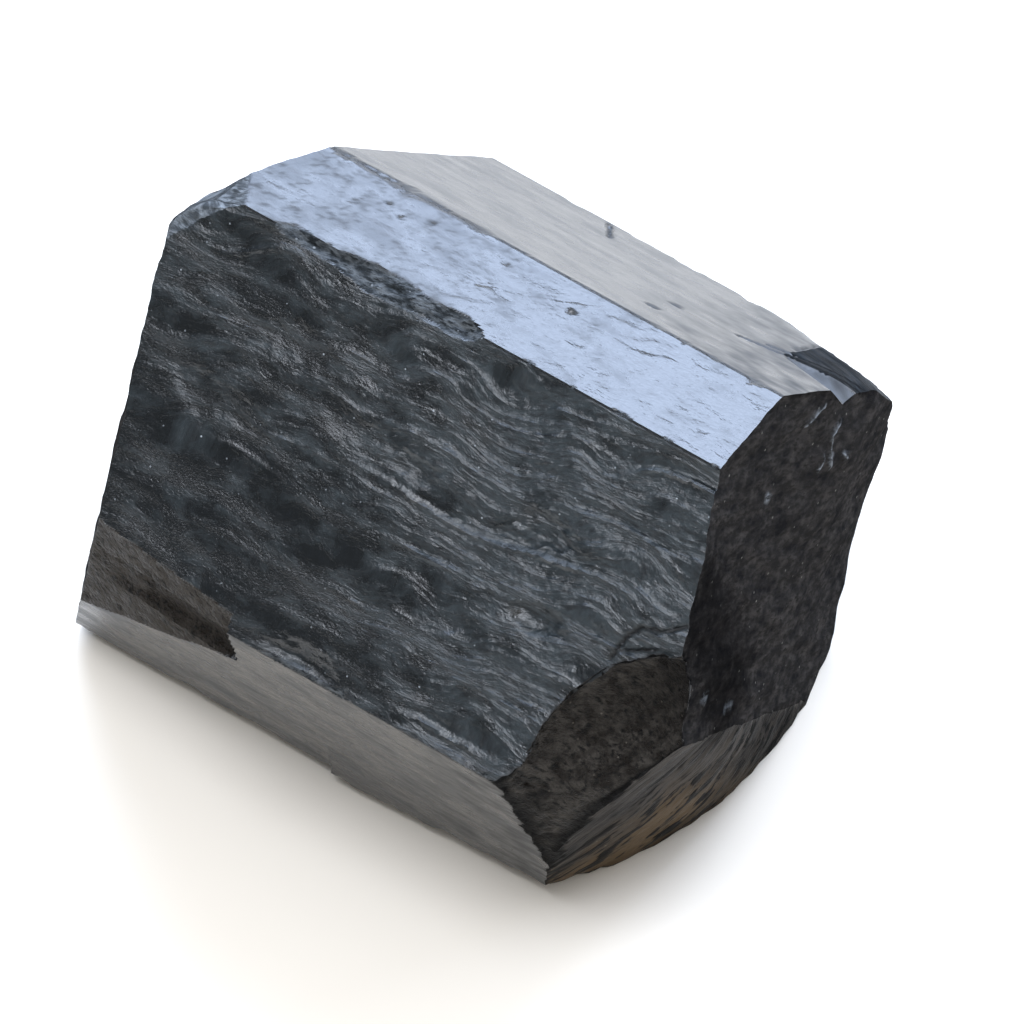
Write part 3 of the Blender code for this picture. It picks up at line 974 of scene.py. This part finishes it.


# Schorl, the black tourmaline: IOR 1.62 to 1.65, opaque and vitreous. Sizes are millimetres,
# along the fibres and then across them. Flecks: spacing, size and colour; on the rough fracture
# the pale flecks are painted glints. Bumps: how high the patches, the streaks and the grain
# stand. A finish says only what differs from the mineral.
mineral = {"ior": 1.635, "fibres": (1.0, 0.0, 0.0), "silkAndSheenPull": 0.0, "tintAndHighlight": "#3a2c1e"}
finishes = {
    # Grown prism faces: vitreous, striated along the crystal and dulled where they are etched.
    "grown": {
        "name": "schorl grown striated face", "specular": 0.5, "silkAndSheenPull": -0.25,
        "dark": "#15171a", "light": "#2f3338", "streak": "#1b1d20",
        "patches": (5.0, 2.4), "patchRange": (0.26, 0.54),
        "streaks": (1.7, 0.70), "streakRange": (0.45, 0.70), "grain": (0.36, 0.28),
        "flecksAndGlints": (1.7, 0.16, "#0a0a0b"),
        "smooth": 0.14, "rough": 0.46, "bumps": (0.14, 0.05, 0.03),
    },
    # The back upper face: etched all over to a satin gloss, with fine lines in it.
    "satin": {
        "name": "schorl satin etched face", "specular": 0.42,
        "dark": "#121315", "light": "#202224", "streak": "#17191b",
        "patches": (5.0, 2.5), "patchRange": (0.42, 0.66),
        "streaks": (3.0, 0.6), "streakRange": (0.45, 0.70), "grain": (0.26, 0.20),
        "flecksAndGlints": (1.9, 0.15, "#0a0a0b"),
        "smooth": 0.22, "rough": 0.34, "bumps": (0.03, 0.006, 0.014),
    },
    # The ledged face: fibres stacked in thin steps, silky where their edges catch the light; where
    # it is silkier its colour is lighter, a painted sheen.
    "ledged": {
        "name": "schorl ledged silky face", "specular": 0.5, "silkAndSheenPull": 0.20,
        "dark": "#0f1315", "light": "#2b3337", "streak": "#14181b",
        "patches": (3.0, 1.4), "patchRange": (0.48, 0.72),
        "streaks": (1.0, 0.30), "streakRange": (0.45, 0.70), "grain": (0.34, 0.24),
        "flecksAndGlints": (1.3, 0.15, "#a9b0b6"),
        "smooth": 0.24, "rough": 0.42, "bumps": (0.06, 0.03, 0.08),
        "fineLedges": ((1.75, 0.0, 8.0, 0.32), (0.95, 1.0, 6.0, 0.17), (0.45, 1.3, 3.0, 0.05)),
    },
    # Fresh breaks across the crystal: fine rubble that swallows the light, with small glints
    # painted as pale flecks, and a pale tint painted as highlights on its ridges and spots.
    "fractured": {
        "name": "schorl rough fracture", "specular": 0.0,
        "fibres": (0.0, 0.685, -0.728),
        "dark": "#1d1d1e", "light": "#413e3c", "streak": "#252423", "tintAndHighlight": "#8b9095",
        "patches": (1.9, 1.0), "patchRange": (0.36, 0.70),
        "streaks": (1.1, 0.45), "streakRange": (0.45, 0.65), "grain": (0.5, 0.2),
        "flecksAndGlints": (1.3, 0.20, "#77756f"),
        "smooth": 0.70, "rough": 0.95, "bumps": (0.10, 0.08, 0.05),
    },
    # The bevel: fibres laid bare along the crease, brown on the lower side.
    "bevelled": {
        "name": "schorl bare fibres with iron stain", "specular": 0.05,
        "fibres": (0.480, 0.639, 0.601),
        "dark": "#252220", "light": "#413c37", "streak": "#0a0908", "tintAndHighlight": "#544635",
        "patches": (7.0, 1.3), "patchRange": (0.38, 0.62),
        "streaks": (4.5, 0.9), "streakRange": (0.51, 0.57), "grain": (2.0, 0.30),
        "flecksAndGlints": (1.6, 0.18, "#7d725f"),
        "smooth": 0.45, "rough": 0.65, "bumps": (0.15, 0.20, 0.08),
    },
    # Chips along the edges: splintered, with small glassy facets at all angles.
    "chipped": {
        "name": "schorl splintered edge", "specular": 0.10,
        "dark": "#43474a", "light": "#7d8286", "streak": "#3c4043",
        "patches": (1.3, 0.6), "patchRange": (0.40, 0.62),
        "streaks": (0.9, 0.30), "streakRange": (0.47, 0.62), "grain": (0.28, 0.2),
        "flecksAndGlints": (0.9, 0.18, "#b9bcbe"),
        "smooth": 0.50, "rough": 0.75, "bumps": (0.12, 0.08, 0.05),
    },
    # Long edges: fine crumbs left by small knocks, mid grey because they scatter the light.
    "crumbled": {
        "name": "schorl crumbled edge", "specular": 0.04,
        "fibres": (0.97, 0.17, -0.17),
        "dark": "#303437", "light": "#606467", "streak": "#26292b",
        "patches": (1.5, 0.7), "patchRange": (0.38, 0.60),
        "streaks": (1.1, 0.35), "streakRange": (0.50, 0.62), "grain": (0.30, 0.22),
        "flecksAndGlints": (0.9, 0.22, "#8d9194"),
        "smooth": 0.55, "rough": 0.75, "bumps": (0.25, 0.18, 0.10),
    },
    # The shell-shaped hollow and the chip below left: old breaks, dusty and faintly brown.
    "shell": {
        "name": "schorl dusty shell fracture", "specular": 0.12,
        "fibres": (0.35, 0.55, -0.75),
        "dark": "#0c0b0b", "light": "#4a4743", "streak": "#090908", "tintAndHighlight": "#30281f",
        "patches": (1.8, 1.1), "patchRange": (0.41, 0.63),
        "streaks": (1.4, 0.40), "streakRange": (0.50, 0.68), "grain": (0.26, 0.20),
        "flecksAndGlints": (0.9, 0.18, "#6d675e"),
        "smooth": 0.40, "rough": 0.70, "bumps": (0.50, 0.45, 0.18),
    },
    # The sunken slab: a break along the crystal that never grew glossy again.
    "slate": {
        "name": "schorl dull lengthwise break", "specular": 0.05,
        "dark": "#13171a", "light": "#252a2e", "streak": "#0e1012", "tintAndHighlight": "#2c2219",
        "patches": (3.0, 1.0), "patchRange": (0.42, 0.62),
        "streaks": (2.4, 0.35), "streakRange": (0.48, 0.64), "grain": (0.3, 0.2),
        "flecksAndGlints": (1.6, 0.14, "#5b6064"),
        "smooth": 0.55, "rough": 0.75, "bumps": (0.05, 0.05, 0.03),
    },
}


kinds = list(finishes)


def makeCrystal():
    build = CrystalMesh()
    outline = outlinePoints(build.corners)
    addSides(build, outline)
    print("sides made:", len(build.faces), "faces")
    addEnd(build, outline, crystal["leftSpacing"], leftX, 0, True)
    addEnd(build, outline, crystal["rightSpacing"], rightX, crystal["rows"] * len(outline), False)
    print("ends made:", len(build.faces), "faces in all")
    mesh = bpy.data.meshes.new("blackTourmalineCrystal")
    mesh.from_pydata(build.vertices, [], build.faces)
    values = {"crackAndShade": build.cracks, "flow": build.flows, "tintAndHighlight": build.stains,
              "silkAndSheen": build.silks}
    for name, numbers in values.items():
        mesh.attributes.new(name, "FLOAT", "POINT").data.foreach_set("value", numbers)
    for kind in kinds:
        mesh.materials.append(surfaceMaterial(finishes[kind]))
    mesh.polygons.foreach_set("material_index", build.kinds)
    mesh.shade_smooth()
    mesh.set_sharp_from_angle(angle=math.radians(crystal["sharpAngle"]))
    mesh.update()
    piece = bpy.data.objects.new("blackTourmalineCrystal", mesh)
    bpy.context.scene.collection.objects.link(piece)
    return piece


# Studio: sizes in millimetres, angles in degrees, light strengths as radiance.
studio = {
    "floorSize": 6000.0,
    "floorColour": "#f7efe2",
    "roomColour": "#f4f8ff",
    "roomGlow": (0.70, 1.0, 0.19, 1.8),  # height of a direction where it starts and ends, glow
    # azimuth and elevation of each soft box as seen from the crystal, distance, width, height
    "softBoxes": {
        "windowLight": (200.4, 33.0, 900.0, 1000.0, 640.0, "#cfe1ff", 10.4),
        "sideWindow": (160.0, 18.0, 900.0, 420.0, 420.0, "#d0e2ff", 7.0),
        "topLight": (-20.0, 80.0, 900.0, 420.0, 420.0, "#eef4ff", 9.0),
        "fillLight": (68.0, 38.0, 900.0, 500.0, 400.0, "#f6f1ea", 1.6),
    },
    "aim": (2.43, -1.22, 17.84),
    "cameraAzimuth": 33.8,
    "cameraElevation": 56.3,
    "viewWidth": 79.9,
    "lens": 1000.0,
    "sensor": 36.0,
}


def directionFrom(azimuth, elevation):
    # azimuth 0 is in front of the crystal, at -Y, and 90 at +X
    a, e = math.radians(azimuth), math.radians(elevation)
    return Vector((math.sin(a) * math.cos(e), -math.cos(a) * math.cos(e), math.sin(e)))


def makeFloor():
    half = studio["floorSize"] * mm / 2.0
    mesh = bpy.data.meshes.new("studioFloor")
    mesh.from_pydata([(-half, -half, 0.0), (half, -half, 0.0), (half, half, 0.0),
                      (-half, half, 0.0)], [], [(0, 1, 2, 3)])
    paper = bpy.data.materials.new("matt white paper")  # plain, with no gloss of its own
    paper.use_nodes = True
    shader = paper.node_tree.nodes["Principled BSDF"]
    shader.inputs["Base Color"].default_value = linearColour(studio["floorColour"])
    shader.inputs["Roughness"].default_value = 0.9
    shader.inputs["Specular IOR Level"].default_value = 0.1
    mesh.materials.append(paper)
    floor = bpy.data.objects.new("studioFloor", mesh)
    bpy.context.scene.collection.objects.link(floor)


def makeLights():
    world = bpy.data.worlds.new("studioRoom")
    world.use_nodes = True
    tree = world.node_tree
    # a soft room, dim at eye level and brighter overhead
    direction = addNode(tree, "ShaderNodeTexCoord").outputs["Generated"]
    split = addNode(tree, "ShaderNodeSeparateXYZ", links={0: direction})
    low, high, dim, bright = studio["roomGlow"]
    glow = addNode(tree, "ShaderNodeMapRange", {"From Min": low, "From Max": high, "To Min": dim,
                                                "To Max": bright}, {"Value": split.outputs[2]})
    background = tree.nodes["Background"]
    background.inputs["Color"].default_value = linearColour(studio["roomColour"])
    tree.links.new(glow.outputs[0], background.inputs["Strength"])
    bpy.context.scene.world = world
    aim = Vector(studio["aim"]) * mm
    for name, box in studio["softBoxes"].items():
        azimuth, elevation, distance, width, height, colour, glow = box
        lamp = bpy.data.lights.new(name, "AREA")
        lamp.shape = "RECTANGLE"
        lamp.size, lamp.size_y = width * mm, height * mm
        lamp.color = linearColour(colour)[:3]
        lamp.energy = glow * math.pi * lamp.size * lamp.size_y
        light = bpy.data.objects.new(name, lamp)
        away = directionFrom(azimuth, elevation)
        light.location = aim + away * distance * mm
        light.rotation_euler = away.to_track_quat("Z", "Y").to_euler()
        light.visible_camera = False
        bpy.context.scene.collection.objects.link(light)


def makeCamera():
    data = bpy.data.cameras.new("photoCamera")
    data.sensor_width = studio["sensor"]
    data.lens = studio["lens"]
    camera = bpy.data.objects.new("photoCamera", data)
    away = directionFrom(studio["cameraAzimuth"], studio["cameraElevation"])
    distance = studio["viewWidth"] * studio["lens"] / studio["sensor"]
    camera.location = (Vector(studio["aim"]) + away * distance) * mm
    camera.rotation_euler = away.to_track_quat("Z", "Y").to_euler()
    data.clip_start = 0.1
    data.clip_end = 20.0
    bpy.context.scene.collection.objects.link(camera)
    bpy.context.scene.camera = camera


makeCamera()
makeLights()
makeFloor()
print("studio made")
tourmaline = makeCrystal()
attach(tourmaline, "root")
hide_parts("tourmaline_crystal")
bpy.context.scene.view_settings.view_transform = "Standard"
print("crystal made")
